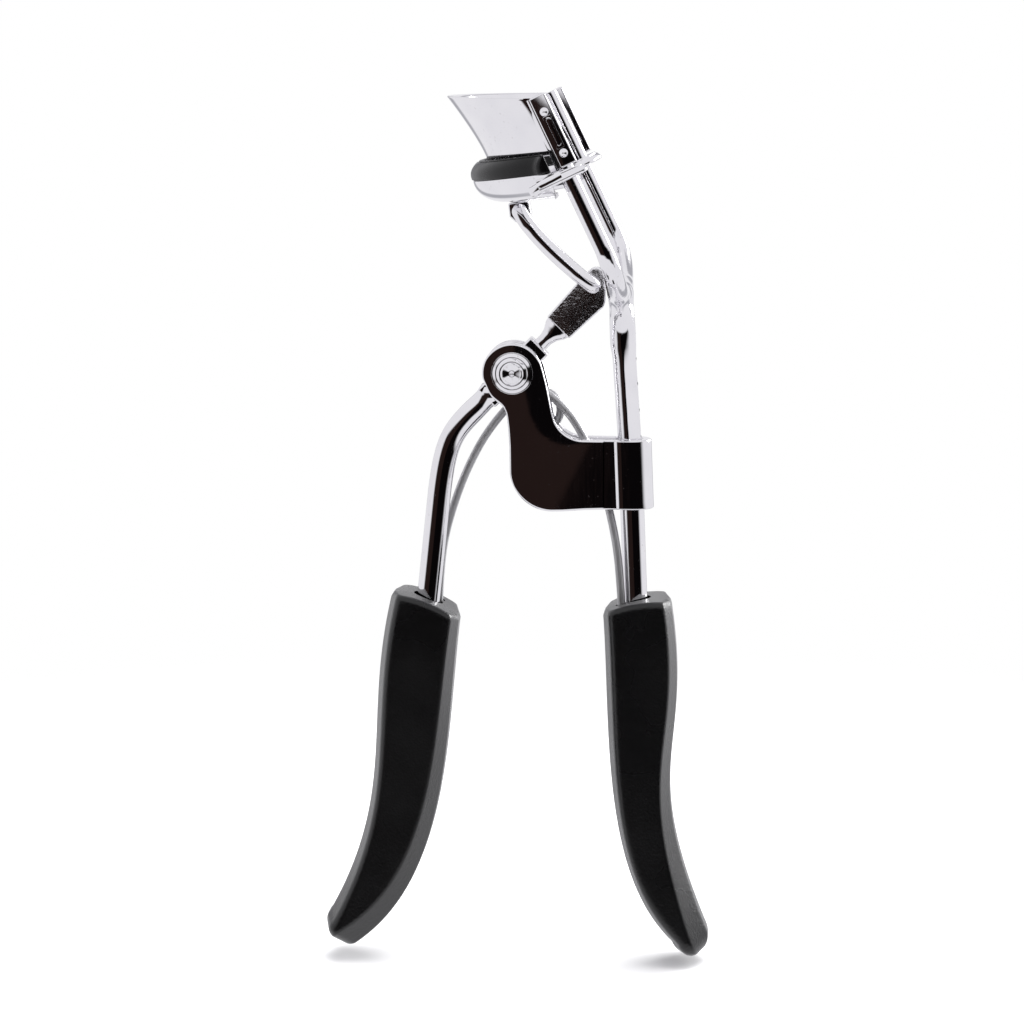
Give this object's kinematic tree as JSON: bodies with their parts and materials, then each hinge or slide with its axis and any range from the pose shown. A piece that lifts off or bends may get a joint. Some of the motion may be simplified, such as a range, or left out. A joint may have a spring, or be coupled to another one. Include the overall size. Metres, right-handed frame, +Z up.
{
  "type": "eyelash curler",
  "caption": "Squeeze-handle eyelash curler with a bowed curling plate, a padded sliding jaw, a link lever, a return spring and moulded grips.",
  "frame": {"origin": "middle of the tool's outline in plan, at the height of the lowest grip tip", "axes": "+Z up from the grips to the jaws, +X from the lever to the stem, Y along the width of the jaws"},
  "size_m": [0.0487, 0.0368, 0.1094],
  "materials": {
    "chrome_steel": "polished chrome plating",
    "grip_plastic": "fine moulded grain",
    "silicone_pad": "satin",
    "spring_wire": "drawn wire"
  },
  "bodies": {
    "frame": {"stem": "chrome_steel", "rail_left": "chrome_steel", "rail_right": "chrome_steel", "curl_plate": "chrome_steel", "side_plate_left": "chrome_steel", "side_plate_right": "chrome_steel", "plate_rivets_left": "chrome_steel", "plate_rivets_right": "chrome_steel", "bracket": "chrome_steel", "pivot_rivet": "chrome_steel", "washer_left": "chrome_steel", "washer_right": "chrome_steel", "stem_grip": "grip_plastic", "spring": "spring_wire"},
    "lever": {"lever": "chrome_steel", "lever_grip": "grip_plastic"},
    "lower_jaw": {"jaw_pan": "chrome_steel", "pad": "silicone_pad", "guide_eye_left": "chrome_steel", "guide_eye_right": "chrome_steel", "jaw_lug": "chrome_steel"},
    "link": {"link": "chrome_steel"}
  },
  "joints": [
    {"name": "squeeze", "type": "hinge", "parent": "frame", "child": "lever", "pos_m": [-0.0005, 0, 0.075], "axis": [0, -1, 0], "range_deg": [0, 18], "stiffness_Nm_per_rad": 0.15, "springref_deg": -14.32, "deforming": ["spring"]},
    {"name": "jaw_slide", "type": "slide", "parent": "frame", "child": "lower_jaw", "axis": [-0.4321, 0, 0.9018], "range_m": [0, 0.0047]},
    {"name": "link_swing", "type": "hinge", "parent": "lower_jaw", "child": "link", "pos_m": [0.00034, 0, 0.09489], "axis": [0, -1, 0], "range_deg": [-12, 1]}
  ],
  "couplings": [
    {"joint": "jaw_slide", "follows": "squeeze", "m_per_rad": 0.014372},
    {"joint": "link_swing", "follows": "squeeze", "ratio": -0.60236}
  ]
}
